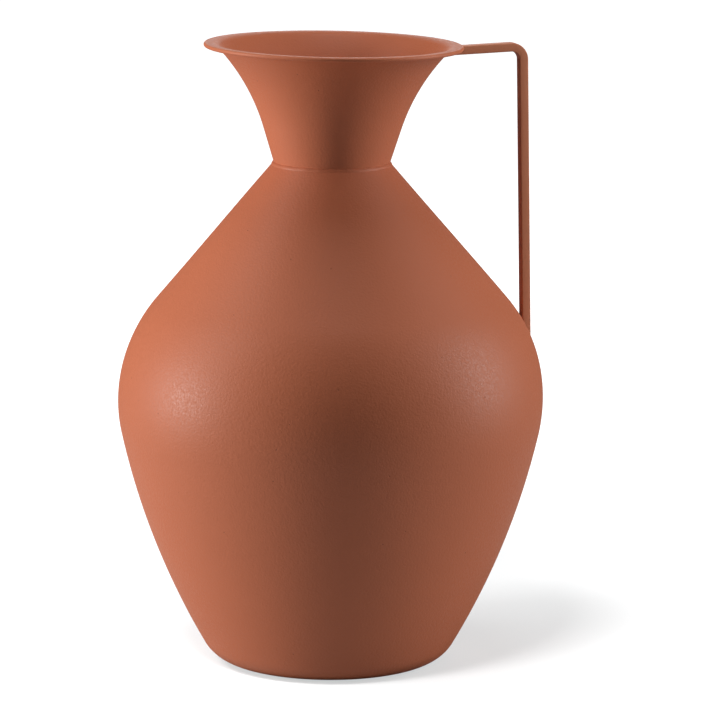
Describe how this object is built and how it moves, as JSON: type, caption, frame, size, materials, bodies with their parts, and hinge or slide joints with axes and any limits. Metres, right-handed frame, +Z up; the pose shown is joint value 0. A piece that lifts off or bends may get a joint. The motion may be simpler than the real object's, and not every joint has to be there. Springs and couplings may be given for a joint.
{
  "type": "jug vase",
  "caption": "One-handled jug vase: flat-based round belly, narrow waist, flared neck with a folded lip and a bent flat-bar handle from lip to shoulder; holds stems.",
  "frame": {"origin": "centre of the flat base, where the vase stands", "axes": "+Z up along the body's axis, +X towards the handle, which lies in the XZ plane"},
  "size_m": [0.2048, 0.2048, 0.3003],
  "materials": {
    "coated_shell": "matt, finely textured powder coat",
    "coated_neck": "matt, finely textured powder coat",
    "coated_bar": "matt powder coat, thinner on the edges",
    "coated_weld": "matt powder coat over an uneven bead"
  },
  "bodies": {
    "root": {"belly_bowl": "coated_shell", "belly_weld": "coated_weld", "shoulder_shell": "coated_shell", "neck_funnel": "coated_neck", "neck_weld": "coated_weld", "handle_bar": "coated_bar", "handle_top_weld": "coated_weld", "handle_foot_weld": "coated_weld"}
  },
  "joints": []
}
